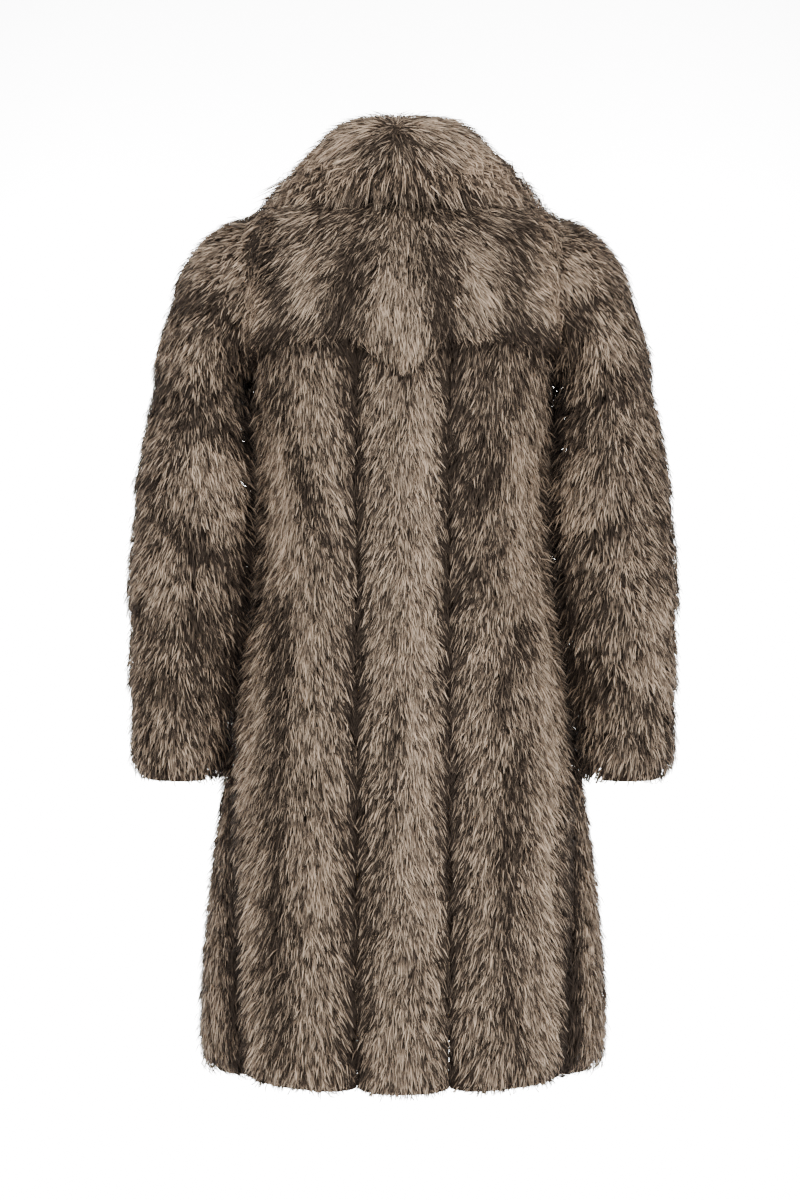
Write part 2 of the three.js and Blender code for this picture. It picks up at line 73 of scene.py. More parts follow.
def arm_middle(point):
    """The nearest point of the sleeve's middle line, and the line's direction there, on the point's own side."""
    side = np.where(point[:, 0] < 0, -1.0, 1.0)
    flat = np.stack([np.abs(point[:, 0]), point[:, 2]], 1)[:, None]
    start, step = ARM_LINE[:-1], np.diff(ARM_LINE, axis=0)
    share = np.clip(((flat - start) * step).sum(2) / (step**2).sum(1), 0, 1)
    foot = start + share[..., None] * step
    nearest = np.linalg.norm(flat - foot, axis=2).argmin(1)
    row = np.arange(len(point))
    foot, step = foot[row, nearest], unit(step)[nearest]
    zero = np.zeros(len(point))
    return np.stack([side * foot[:, 0], zero, foot[:, 1]], 1), np.stack([side * step[:, 0], zero, step[:, 1]], 1)


def heart(node, point):
    """What a wall stands round: the middle line of a sleeve, or a stretch of the coat's own middle plane."""
    if node.startswith("sleeve"):
        return arm_middle(point)[0]
    across = np.clip(point[:, 0], -0.07, 0.07)
    return np.stack([across, np.zeros(len(point)), np.minimum(point[:, 2], -0.16)], 1)


def three_sides(node, corner, face):
    """Which triangles face out to the hair, which to the skin, and which are an end that the pelt turns over:
    the collar's foot, the neck seam and the top of a sleeve. The collar's skin side is where a line out of the
    wall meets the wall again, and the foot is an oval round the neck. Any other wall's sides are told by the
    direction away from its heart."""
    a, b, c = (corner[face[:, i]] for i in range(3))
    centre, way = (a + b + c) / 3, unit(np.cross(b - a, c - a))
    if node == "collar":
        tree = BVHTree.FromPolygons(corner.tolist(), face.tolist())
        covered = np.array([
            tree.ray_cast(Vector(p + n * 2e-4), Vector(n), 0.055)[0] is not None for p, n in zip(centre, way)
        ])
        foot = np.hypot(centre[:, 0] / 0.060, (centre[:, 1] + 0.017) / 0.080) < 1.45
        under = ~covered & (way[:, 2] < -0.55)
        return ~covered & ~under, covered, under & foot
    facing = (way * unit(centre - heart(node, centre))).sum(1)
    outside, inside = facing > 0.3, facing < -0.3
    if node.startswith("sleeve"):
        end = np.abs(centre[:, 0]) < 0.2
    else:
        end = (np.hypot(centre[:, 0], centre[:, 1]) < 0.12) & (centre[:, 2] > -0.14)
    return outside, inside, end & ~outside & ~inside


def shader(name, roughness, sheen=0.0, specular=0.5):
    """A new node material and its Principled shader, with the numbers that are the same all over."""
    material = bpy.data.materials.new(name)
    material.use_nodes = True
    principled = material.node_tree.nodes["Principled BSDF"]
    principled.inputs["Roughness"].default_value = roughness
    principled.inputs["Sheen Weight"].default_value = sheen
    principled.inputs["Sheen Roughness"].default_value = 0.5
    principled.inputs["Specular IOR Level"].default_value = specular
    return material, principled


def ramp(tree, stops):
    """A colour ramp with the given places and linear colours."""
    made = tree.nodes.new("ShaderNodeValToRGB")
    made.color_ramp.elements[0].position, made.color_ramp.elements[0].color = stops[0][0], (*stops[0][1], 1)
    made.color_ramp.elements[1].position, made.color_ramp.elements[1].color = stops[-1][0], (*stops[-1][1], 1)
    for place, color in stops[1:-1]:
        made.color_ramp.elements.new(place).color = (*color, 1)
    return made


def suede():
    """Tanned skin side: warm buff, clouded, with a fine nap."""
    material, principled = shader("suede_skin_side", 0.92, sheen=0.25, specular=0.2)
    tree = material.node_tree
    place = tree.nodes.new("ShaderNodeTexCoord").outputs["Object"]
    cloud, nap = tree.nodes.new("ShaderNodeTexNoise"), tree.nodes.new("ShaderNodeTexNoise")
    cloud.inputs["Scale"].default_value, cloud.inputs["Detail"].default_value = 18, 5
    nap.inputs["Scale"].default_value, nap.inputs["Detail"].default_value = 900, 3
    tint = ramp(tree, [(0.3, (0.36, 0.26, 0.17)), (0.55, (0.47, 0.35, 0.24)), (0.75, (0.56, 0.44, 0.31))])
    bump = tree.nodes.new("ShaderNodeBump")
    bump.inputs["Strength"].default_value, bump.inputs["Distance"].default_value = 0.35, 0.0006
    tree.links.new(place, cloud.inputs["Vector"])
    tree.links.new(place, nap.inputs["Vector"])
    tree.links.new(cloud.outputs["Fac"], tint.inputs["Fac"])
    tree.links.new(tint.outputs["Color"], principled.inputs["Base Color"])
    tree.links.new(nap.outputs["Fac"], bump.inputs["Height"])
    tree.links.new(bump.outputs["Normal"], principled.inputs["Normal"])
    return material


def underfur():
    """The dense wool at the foot of the hair, seen only as depth between the locks: dark brown, deepened with
    painted shade.
    """
    material, principled = shader("underfur", 0.95, specular=0.1)
    tree = material.node_tree
    place = tree.nodes.new("ShaderNodeTexCoord").outputs["Object"]
    wool = tree.nodes.new("ShaderNodeTexNoise")
    wool.inputs["Scale"].default_value, wool.inputs["Detail"].default_value = 260, 4
    tint = ramp(tree, [(0.35, (0.022, 0.014, 0.010)), (0.7, (0.065, 0.045, 0.032))])
    bump = tree.nodes.new("ShaderNodeBump")
    bump.inputs["Strength"].default_value, bump.inputs["Distance"].default_value = 0.8, 0.002
    tree.links.new(place, wool.inputs["Vector"])
    tree.links.new(wool.outputs["Fac"], tint.inputs["Fac"])
    tree.links.new(tint.outputs["Color"], principled.inputs["Base Color"])
    tree.links.new(wool.outputs["Fac"], bump.inputs["Height"])
    tree.links.new(bump.outputs["Normal"], principled.inputs["Normal"])
    return material


SKIN_FINISH, WOOL_FINISH = suede(), underfur()


def pelt(node):
    """A pelt's mesh: every corner of the wall drawn towards the wall's skin side, until a tenth of the wall is
    left. Returns the new piece, with the wall's corners, triangles and sides, and a tree of the skin side."""
    corner, face = welded(node)
    outside, inside, end = three_sides(node, corner, face)
    skin = BVHTree.FromPolygons(corner.tolist(), face[inside | end].tolist())
    foot = np.array([skin.find_nearest(Vector(p))[0] for p in corner])
    mesh = bpy.data.meshes.new("pelt_" + node)
    mesh.from_pydata((foot + PELT_SHARE * (corner - foot)).tolist(), [], face.tolist())
    mesh.polygons.foreach_set("material_index", (~inside).astype(np.int32))
    mesh.shade_smooth()
    mesh.set_sharp_from_angle(angle=math.radians(40))
    piece = bpy.data.objects.new("pelt_" + node, mesh)
    bpy.context.scene.collection.objects.link(piece)
    mesh.materials.append(SKIN_FINISH)
    mesh.materials.append(WOOL_FINISH)
    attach(piece, "root")
    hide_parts(node)
    return {"corner": corner, "face": face, "outside": outside, "skin": skin, "piece": piece}


NODES = ["collar", "yoke", "back_centre"] + [
    f"{part}_{side}" for part in ("back_side", "side_gore", "front_side", "front_edge", "sleeve") for side in SIDES
]
pelts = {node: pelt(node) for node in NODES}


def all_pelts():
    """One tree of every pelt, for setting the foot of a hair on whichever pelt it grows from."""
    points, faces, count = [], [], 0
    for made in pelts.values():
        mesh = made["piece"].data
        corner = np.zeros(len(mesh.vertices) * 3)
        mesh.vertices.foreach_get("co", corner)
        points.append(corner.reshape(-1, 3))
        faces.append(made["face"] + count)
        count += len(mesh.vertices)
    return BVHTree.FromPolygons(np.concatenate(points).tolist(), np.concatenate(faces).tolist())


pelt_tree = all_pelts()

# Back centre: the middle strip of the back, of even width, its hair falling
# from a crest down and out to the grooves at both seams. Long grey-brown
# guard hair with pale tips stands over dark underfur, and lies in locks.
HAIRS_IN_LOCK = 4
LOCK_SPREAD = 0.0042  # how far the feet of one lock's hairs lie apart
GUARD_HALF, DOWN_HALF = 0.00066, 0.00155  # half the width of a blade of guard hair and of one of down
DOWN_SHARE = 0.27  # of all blades, lying lower between the guard hairs
FLYAWAY_SHARE = 0.18  # of the guard hairs, standing out of the coat
BETWEEN = 0.022  # a sleeve and the coat's side hide each other's light where they are closer than this
YOKE_LINE = ([0, 0.025, 0.05, 0.09, 0.14, 0.18], [-0.222, -0.208, -0.193, -0.187, -0.183, -0.195])
BACK_MARKS = [  # tone, half width, then the line's points across and up
    (-0.40, 0.011, [(0.15, -0.24), (0.13, -0.30), (0.11, -0.36), (0.08, -0.41)]),
    (-0.45, 0.014, [(0.15, -0.48), (0.14, -0.56), (0.15, -0.70), (0.15, -0.86), (0.14, -1.00)]),
    (0.25, 0.020, [(0.155, -0.30), (0.135, -0.47)]),
    (0.25, 0.012, [(0.18, -0.53), (0.19, -0.76), (0.185, -1.00)]),
    (0.12, 0.018, [(0.11, -0.50), (0.11, -0.82)]),
    (0.16, 0.016, [(-0.02, -0.24), (-0.02, -0.82)]),
    (-0.32, 0.009, [(0.005, -0.60), (0.02, -0.72), (0.035, -0.86), (0.04, -0.95)]),
    (-0.32, 0.022, [(-0.085, -0.20), (-0.085, -0.46)]),
    (-0.38, 0.010, [(-0.135, -0.22), (-0.12, -0.29), (-0.105, -0.34), (-0.08, -0.37)]),
    (0.28, 0.020, [(-0.135, -0.30), (-0.14, -0.47)]),
    (-0.42, 0.013, [(-0.14, -0.52), (-0.11, -0.60)]),
    (-0.48, 0.013, [(-0.14, -0.65), (-0.125, -0.72), (-0.12, -0.82), (-0.115, -0.90), (-0.13, -1.00)]),
    (0.26, 0.012, [(-0.175, -0.47), (-0.175, -0.75), (-0.17, -1.00)]),
    (-0.38, 0.009, [(0.20, -0.72), (0.195, -1.00)]),
    (-0.38, 0.009, [(-0.19, -0.70), (-0.195, -1.00)]),
    (0.20, 0.010, [(0.22, -0.83), (0.215, -1.00)]),
    (0.18, 0.010, [(-0.22, -0.81), (-0.215, -1.00)]),
]


def hair_finish():
    """Guard hair: along a hair, from its foot to its tip, the colour runs from dark brown over grey-brown to a
    pale band. Across the UV map's width the whole scale runs from the darkest hairs to the palest."""
    material, principled = shader("guard_hair", 0.66, sheen=0.03, specular=0.14)
    tree = material.node_tree
    uv = tree.nodes.new("ShaderNodeUVMap")
    uv.uv_map = "OFBake"
    parts = tree.nodes.new("ShaderNodeSeparateXYZ")
    tree.links.new(uv.outputs["UV"], parts.inputs["Vector"])
    dark = ramp(tree, [
        (0.0, (0.008, 0.005, 0.003)), (0.45, (0.014, 0.009, 0.006)),
        (0.75, (0.026, 0.017, 0.012)), (1.0, (0.048, 0.033, 0.023)),
    ])
    pale = ramp(tree, [
        (0.0, (0.045, 0.030, 0.020)), (0.30, (0.240, 0.163, 0.109)),
        (0.6, (0.680, 0.494, 0.346)), (1.0, (0.950, 0.760, 0.575)),
    ])
    mix = tree.nodes.new("ShaderNodeMix")
    mix.data_type = "RGBA"
    tree.links.new(parts.outputs["Y"], dark.inputs["Fac"])
    tree.links.new(parts.outputs["Y"], pale.inputs["Fac"])
    tree.links.new(parts.outputs["X"], mix.inputs["Factor"])
    tree.links.new(dark.outputs["Color"], mix.inputs["A"])
    tree.links.new(pale.outputs["Color"], mix.inputs["B"])
    tree.links.new(mix.outputs["Result"], principled.inputs["Base Color"])
    return material


HAIR_FINISH = hair_finish()


def clouds(point, size, seed):
    """Smooth mottling from -1 to 1: a sum of 24 waves in random directions, each about size long."""
    r = np.random.default_rng(seed)
    wave = unit(r.normal(size=(24, 3))) * (2 * np.pi / (size * r.uniform(0.7, 1.6, (24, 1))))
    return np.sin(point @ wave.T + r.uniform(0, 2 * np.pi, 24)).sum(1) / 5


def marked(point, marks):
    """The tone that marks add: each is a line across and up, and its tone fades out smoothly over its half
    width. The front has the back's marks the other way round."""
    across = np.where(point[:, 1] < 0, -point[:, 0], point[:, 0])
    spot = np.stack([across, point[:, 2]], 1)
    total = np.zeros(len(point))
    for tone, half, line in marks:
        line = np.array(line)
        start, step = line[:-1], np.diff(line, axis=0)
        along = np.clip(((spot[:, None] - start) * step).sum(2) / (step**2).sum(1), 0, 1)
        off = np.linalg.norm(spot[:, None] - start - along[..., None] * step, axis=2).min(1) / (1.25 * half)
        total += tone * np.exp(-(off**2))
    return total


def rim(corner, face, keep):
    """The open border of a set of triangles, as the two ends of each edge that only one of them has."""
    edge = np.sort(np.concatenate([face[:, [0, 1]], face[:, [1, 2]], face[:, [2, 0]]]), axis=1)
    ends, times = np.unique(edge, axis=0, return_counts=True)
    ends = corner[ends[times == 1]]
    return ends[keep(ends.mean(1))]


def near_rim(point, ends, fade):
    """1 on the border, falling smoothly to 0 at the distance fade from it."""
    start, step = ends[:, 0], ends[:, 1] - ends[:, 0]
    off = np.empty(len(point))
    for rows in np.array_split(np.arange(len(point)), 1 + len(point) // 4000):
        gap = point[rows, None] - start
        share = np.clip((gap * step).sum(2) / (step**2).sum(1), 0, 1)[..., None]
        off[rows] = np.linalg.norm(gap - share * step, axis=2).min(1)
    return np.clip(1 - off / fade, 0, 1)[:, None] ** 1.5


def strewn(made, per_m2, r):
    """Points spread evenly over a pelt's outer side, with the smooth outward direction at each."""
    corner, face = made["corner"], made["face"][made["outside"]]
    a, b, c = (corner[face[:, i]] for i in range(3))
    normal = np.cross(b - a, c - a)
    area = np.linalg.norm(normal, axis=1) / 2
    smooth = np.zeros_like(corner)
    for i in range(3):
        np.add.at(smooth, face[:, i], normal)
    smooth = unit(smooth)
    pick = r.choice(len(face), int(area.sum() * per_m2), p=area / area.sum())
    u, v = r.random((2, len(pick), 1))
    u, v = np.where(u + v > 1, 1 - u, u), np.where(u + v > 1, 1 - v, v)
    n = (1 - u - v) * smooth[face[pick, 0]] + u * smooth[face[pick, 1]] + v * smooth[face[pick, 2]]
    return a[pick] + u * (b - a)[pick] + v * (c - a)[pick], unit(n)


def outer_sides(nodes):
    """One tree of the outer sides of some walls."""
    points, faces, count = [], [], 0
    for made in (pelts[node] for node in nodes):
        points.append(made["corner"])
        faces.append(made["face"][made["outside"]] + count)
        count += len(made["corner"])
    return BVHTree.FromPolygons(np.concatenate(points).tolist(), np.concatenate(faces).tolist())


def nearest(tree, point, reach):
    """The nearest place on a tree and the direction out of it there; the point itself where none is in reach."""
    found = [tree.find_nearest(Vector(p), reach) for p in point]
    place = np.array([p if hit[0] is None else hit[0] for p, hit in zip(point, found)]).reshape(-1, 3)
    return place, np.array([(0, 0, 0) if hit[1] is None else hit[1] for hit in found]).reshape(-1, 3)


def laid_past(made, tip, n, lie, fringe, r):
    """Tips near a border of the piece run on past it, unevenly, and lie down on the pieces beyond it."""
    keep, extra, fade, beyond = fringe
    share = near_rim(tip, rim(made["corner"], made["face"][made["outside"]], keep), fade)
    tip = tip + (lie - 0.45 * n) * extra * share * r.uniform(0.1, 1.6, share.shape)
    on = np.flatnonzero(share > 0.01)
    if beyond and len(on):
        place, way = nearest(outer_sides(beyond), tip[on], 0.035)
        tip[on] += 0.6 * np.minimum(1.5 * share[on], 1) * (place + 0.004 * way - tip[on])
    return tip


def reached(tip, across_to):
    """Tips of the sleeves and of the coat's sides bend towards each other below the armhole, and little light
    gets in between them. Returns the new tips, and how close each is, from 0 to 1."""
    place, _ = nearest(outer_sides(across_to), tip, BETWEEN)
    gap = np.linalg.norm(place - tip, axis=1)
    close = np.where(gap > 0, np.clip(1 - gap / BETWEEN, 0, 1), 0) * np.clip((-0.165 - tip[:, 2]) / 0.02, 0, 1)
    return tip + (0.85 * np.clip(2.5 * close, 0, 1))[:, None] * (place - tip), close


def blades(name, foot, bend, tip, n, across, half, shade, r):
    """A mesh of hairs. Each is two triangles that share its widest line: a long kite from foot to tip, bent once
    on the way, a little rolled on its length, and shaded as a round hair lying on the coat would be."""
    total = len(tip)
    roll = r.normal(0, 0.5, (total, 1))
    wide = (across * np.cos(roll) + n * np.sin(roll)) * half
    point = np.stack([foot, bend - wide, bend + wide, tip], 1).reshape(-1, 3)
    first = (4 * np.arange(total))[:, None, None]
    triangles = (first + np.array([(0, 2, 1), (1, 2, 3)])).reshape(-1, 3)
    u = np.stack([shade, shade - 0.004, shade + 0.004, shade], 1)
    v = np.tile([0.02, 0.52, 0.52, 0.98], (total, 1))
    way = np.cross(wide, tip - foot)
    way = unit(way * np.sign((way * n).sum(1, keepdims=True)))
    lean = unit(wide)
    shown = [unit(0.75 * n + 0.35 * way + side * 0.45 * lean) for side in (0, -1, 1, 0)]

    mesh = bpy.data.meshes.new(name)
    mesh.vertices.add(len(point))
    mesh.vertices.foreach_set("co", point.ravel())
    mesh.loops.add(len(triangles) * 3)
    mesh.loops.foreach_set("vertex_index", triangles.ravel())
    mesh.polygons.add(len(triangles))
    mesh.polygons.foreach_set("loop_start", 3 * np.arange(len(triangles)))
    mesh.update()
    mesh.shade_smooth()
    uv = mesh.uv_layers.new(name="OFBake")
    uv.data.foreach_set("uv", np.stack([u, v], 2).reshape(-1, 2)[triangles.ravel()].ravel())
    mesh.normals_split_custom_set_from_vertices(np.stack(shown, 1).reshape(-1, 3))
    return mesh


def fur(node, per_m2, run, flow, tone, seed, fringes=(), across_to=(), streaks=0.14):
    """The hair of one pelt, per_m2 hairs to the square metre. Locks are strewn over the wall's outer side, where
    their tips lie; flow gives the way a lock lies, and its foot is a run back along it, on the pelt below. The
    hairs of a lock start apart and draw together. Down lies lower and is broader; a few guard hairs fly away.
    A hair bends outwards a little past its middle, or where it passes a border of its piece.
    Each fringe is a border of the piece, how far the hair there runs on past it, over what distance, and the
    pieces that it lies down on. across_to are the pieces that its hair reaches over to beside the arm, and
    streaks is how much the locks differ in tone. A third of the hairs are pale-tipped."""
    made, r = pelts[node], np.random.default_rng(seed)
    tip, n = strewn(made, per_m2 / HAIRS_IN_LOCK, r)
    count = len(tip)
    lie = flow(tip)
    lie = unit(lie - n * (lie * n).sum(1, keepdims=True) + 1e-9)
    swing = 0.17 * clouds(tip, 0.03, seed + 1)[:, None] + r.normal(0, 0.09, (count, 1))
    lie = unit(lie + swing * np.cross(n, lie))
    length = run * r.uniform(0.75, 1.2, (count, 1))
    wall = np.array([made["skin"].find_nearest(Vector(p))[3] for p in tip])[:, None]
    foot = np.array([pelt_tree.find_nearest(Vector(p))[0] for p in tip - lie * length - n * wall])
    shade = tone(tip) + r.normal(0, streaks, count)
    rest = tip.copy()
    for fringe in fringes:
        tip = laid_past(made, tip, n, lie, fringe, r)
    over, moved = rest - tip, np.clip(np.linalg.norm(tip - rest, axis=1, keepdims=True) / 0.01, 0, 1)
    if across_to:
        tip, close = reached(tip, across_to)
        # painted shade where the arm and the coat's side come close: the nearer a tip comes to the other piece,
        # the darker
        shade -= 0.3 * close

    columns = (tip, foot, n, lie, wall, over, moved)
    tip, foot, n, lie, wall, over, moved = (np.repeat(rows, HAIRS_IN_LOCK, axis=0) for rows in columns)
    shade, total = np.repeat(shade, HAIRS_IN_LOCK), len(tip)
    across = np.cross(lie, n)
    aside, back = r.normal(0, 1, (2, total, 1))
    down = r.random((total, 1)) < DOWN_SHARE
    low = down * r.uniform(0.12, 0.38, (total, 1)) * wall
    out = r.uniform(-0.0034, 0.0022, (total, 1))
    out = out + ~down * (r.random((total, 1)) < FLYAWAY_SHARE) * r.uniform(0.001, 0.0072, (total, 1))
    foot = foot + across * aside * LOCK_SPREAD + lie * back * 0.004
    tip = tip + across * aside * LOCK_SPREAD * 0.45 + lie * (back * 0.005 - low * 0.5) + n * (out - low)
    bend = 0.42 * foot + 0.58 * tip + n * 0.17 * np.linalg.norm(tip - foot, axis=1, keepdims=True)
    bend = bend + moved * (tip + over - bend)
    half = np.where(down, DOWN_HALF, GUARD_HALF) * r.uniform(0.7, 1.25, (total, 1))
    shade = shade + np.where(r.random(total) < 0.33, 0.46, -0.21) + r.normal(0, 0.14, total)
    # down is darker: its own darker colour, with painted shade that grows the lower it lies
    shade = np.logaddexp(0, (shade - (0.15 + 5.0 * low[:, 0]) * down[:, 0]) / 0.075) * 0.075
    mesh = blades("fur_" + node, foot, bend, tip, n, across, half, np.clip(shade, 0.02, 0.98), r)
    mesh.materials.append(HAIR_FINISH)
    piece = bpy.data.objects.new("fur_" + node, mesh)
    bpy.context.scene.collection.objects.link(piece)
    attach(piece, "root")
    print("fur", node, total, "hairs", 2 * total, "triangles")
    return piece


def seams_at(point):
    """The angles, from the coat's side round to its back, of the seams at each point's height: the gore's, the
    centre strip's and, on the front, the edge strip's."""
    up = point[:, 2]
    gore = np.interp(up, [-1.025, -0.95, -0.89, -0.83, -0.77, -0.71, -0.64, -0.56],
                     np.radians([32, 29.7, 27.6, 24.3, 19.6, 13.5, 8, 6.5]))
    deep = np.interp(up, [-1.03, -0.78, -0.54, -0.33, -0.1], [0.185, 0.172, 0.153, 0.142, 0.132])
    front = np.interp(up, [-1.03, -0.78, -0.54, -0.33, -0.1], [0.168, 0.156, 0.142, 0.136, 0.130])
    return gore, np.arctan2(deep, 0.055), -np.arctan2(front, 0.074)


def across_strip(node, point):
    """Where a point lies between the crest of its strip, 0, and the strip's seams, -1 and 1."""
    turn = np.arctan2(point[:, 1], np.abs(point[:, 0]))
    gore, centre, front = seams_at(point)
    quarter = np.full(len(point), np.pi / 2)
    above = np.clip((point[:, 2] + 0.20) / 0.05, 0, 1)
    low, high = {
        "back_centre": (centre, np.pi - centre),
        "back_side": (gore, centre),
        "side_gore": (-gore, gore),
        "front_side": (front, -gore * (1 - above)),
        "front_edge": (-quarter, front),
    }[node]
    return np.clip(2 * (turn - low) / (high - low) - 1, -1, 1)


def strip_flow(node, tilt):
    """A strip's hair falls, and swings out from the crest to the seams by up to tilt."""

    def flow(point):
        share = across_strip(node, point) * np.where(point[:, 0] < 0, -1, 1) * np.tan(tilt)
        turn = np.arctan2(point[:, 1], point[:, 0])
        return np.stack([-np.sin(turn) * share, np.cos(turn) * share, -np.ones(len(point))], 1)

    return flow


def strip_tone(node, base=0.25):
    """A strip has a painted highlight along its crest and painted shade in the grooves, with natural mottling and
    the back's marks. The back's strips carry a painted shadow just below the edge of the yoke, which overhangs
    them."""

    def tone(point):
        edge = np.abs(across_strip(node, point))
        mottle = 0.07 * clouds(point * (1, 1, 0.45), 0.045, 11) + 0.08 * clouds(point * (1, 1, 0.5), 0.014, 12)
        # painted highlight along the crest and painted shade in the grooves at the seams
        crest_highlight_groove_shade = 0.05 * (1 - edge**2) - 0.45 * np.clip((edge - 0.74) / 0.26, 0, 1) - 0.4 * (edge > 0.95)
        # painted shadow just below the yoke's overhanging edge, on the back's strips only
        below = point[:, 2] - np.interp(np.abs(point[:, 0]), *YOKE_LINE)
        painted_yoke_shadow = 0.5 * np.exp(-((below / 0.013) ** 2)) * node.startswith("back")
        return np.maximum(base + mottle + marked(point, BACK_MARKS) - painted_yoke_shadow, -0.25) + crest_highlight_groove_shade

    return tone


HEM_FRINGE = (lambda p: p[:, 2] < -0.99, 0.008, 0.016, ())
ARMS = ("sleeve_left", "sleeve_right")
centre_flow = strip_flow("back_centre", math.radians(24))
fur("back_centre", 400000, 0.026, centre_flow, strip_tone("back_centre", 0.27), 22, [HEM_FRINGE])

# Back sides: the two wide strips beside the middle one. Their hair swings out
# further at the seams, over long dark streaks where skins are let in.
side_flow = strip_flow("back_side", math.radians(30))
for number, side in enumerate(SIDES):
    side_tone = strip_tone("back_side")
    fur(f"back_side_{side}", 300000, 0.027, side_flow, side_tone, 31 + number, [HEM_FRINGE], ARMS)

# Side gores: narrow under the arms and spreading to the hem, so that the coat
# swings out at the knee.
gore_flow = strip_flow("side_gore", math.radians(26))
for number, side in enumerate(SIDES):
    gore_tone = strip_tone("side_gore", 0.22)
    fur(f"side_gore_{side}", 250000, 0.026, gore_flow, gore_tone, 41 + number, [HEM_FRINGE], ARMS)

# Fronts: a side strip up to the shoulder seam and a strip along each front
# edge. The edges lie side by side, and nothing of a closure shows.
FRONT_ARMHOLE_FRINGE = (lambda p: (np.abs(p[:, 0]) > 0.14) & (p[:, 2] > -0.2), 0.010, 0.02, ARMS)
front_flow, edge_flow = strip_flow("front_side", math.radians(28)), strip_flow("front_edge", math.radians(22))
for number, side in enumerate(SIDES):
    fringes = [HEM_FRINGE, FRONT_ARMHOLE_FRINGE]
    fur(f"front_side_{side}", 150000, 0.028, front_flow, strip_tone("front_side"), 51 + number, fringes, ARMS)
    fur(f"front_edge_{side}", 150000, 0.026, edge_flow, strip_tone("front_edge"), 53 + number, [HEM_FRINGE])

# Yoke: one wide piece over the upper back, its hair falling from the nape and
# over the tops of the strips, in broad dark and pale lobes.
YOKE_MARKS = [  # tone, half width, then the line's points across and up
    (-0.50, 0.020, [(0.065, -0.08), (0.075, -0.17)]),
    (-0.35, 0.013, [(0.10, -0.025), (0.04, -0.015)]),
    (-0.50, 0.018, [(-0.045, -0.08), (-0.05, -0.17)]),
    (-0.35, 0.014, [(-0.04, -0.018), (-0.09, -0.035)]),
    (0.22, 0.020, [(0.12, -0.09), (0.112, -0.145)]),
    (0.30, 0.016, [(0.025, -0.12), (0.02, -0.18)]),
    (0.24, 0.014, [(-0.015, -0.13), (-0.01, -0.19)]),
    (0.24, 0.018, [(-0.09, -0.08), (-0.095, -0.15)]),
    (-0.40, 0.012, [(0.165, -0.045), (0.165, -0.08), (0.15, -0.13), (0.145, -0.165)]),
    (-0.42, 0.015, [(-0.14, -0.04), (-0.14, -0.17)]),
    (0.24, 0.016, [(0.185, -0.09), (0.17, -0.15)]),
    (0.24, 0.016, [(-0.17, -0.08), (-0.165, -0.14)]),
    # the last two lines are painted shadow along the yoke's lower edge at the sides, where it overhangs the strips
    (-0.50, 0.011, [(0.19, -0.175), (0.14, -0.172)]),
    (-0.50, 0.011, [(-0.125, -0.176), (-0.19, -0.178)]),
]
YOKE_FRINGES = [  # over the tops of the strips, and over the tops of the sleeves
    (lambda p: (p[:, 2] < -0.15) & (np.abs(p[:, 0]) < 0.18), 0.010, 0.02, ()),
    (lambda p: (np.abs(p[:, 0]) > 0.13) & (p[:, 2] > -0.17), 0.020, 0.03, ARMS),
]


def yoke_flow(point):
    """Hair runs away from the nape and falls."""
    return unit(point - (0, 0.06, 0.03)) * (1.05, 0.6, 0.6) + (0, 0, -0.42)


def yoke_tone(point):
    """Natural mottling with the lobes, painted shadow under the collar and, beside the middle, along the lower
    edge.
    """
    mottle = 0.06 * clouds(point * (1, 1, 0.45), 0.04, 13) + 0.08 * clouds(point * (1, 1, 0.5), 0.013, 14)
    across = np.abs(point[:, 0])
    edge = np.clip(1 - (point[:, 2] - np.interp(across, *YOKE_LINE)) / 0.035, 0, 1)
    # painted shade along the lower edge, beside the middle, where the yoke overhangs the strips
    mottle = mottle - 0.22 * edge * np.clip((across - 0.045) / 0.03, 0, 1)
    # painted shadow under the collar's edge
    mottle = mottle - 0.1 * np.clip((point[:, 2] + 0.03) / 0.03, 0, 1)
    return np.maximum(0.25 + mottle + 1.15 * marked(point, YOKE_MARKS), -0.34)


fur("yoke", 430000, 0.030, yoke_flow, yoke_tone, 61, YOKE_FRINGES, streaks=0.17)

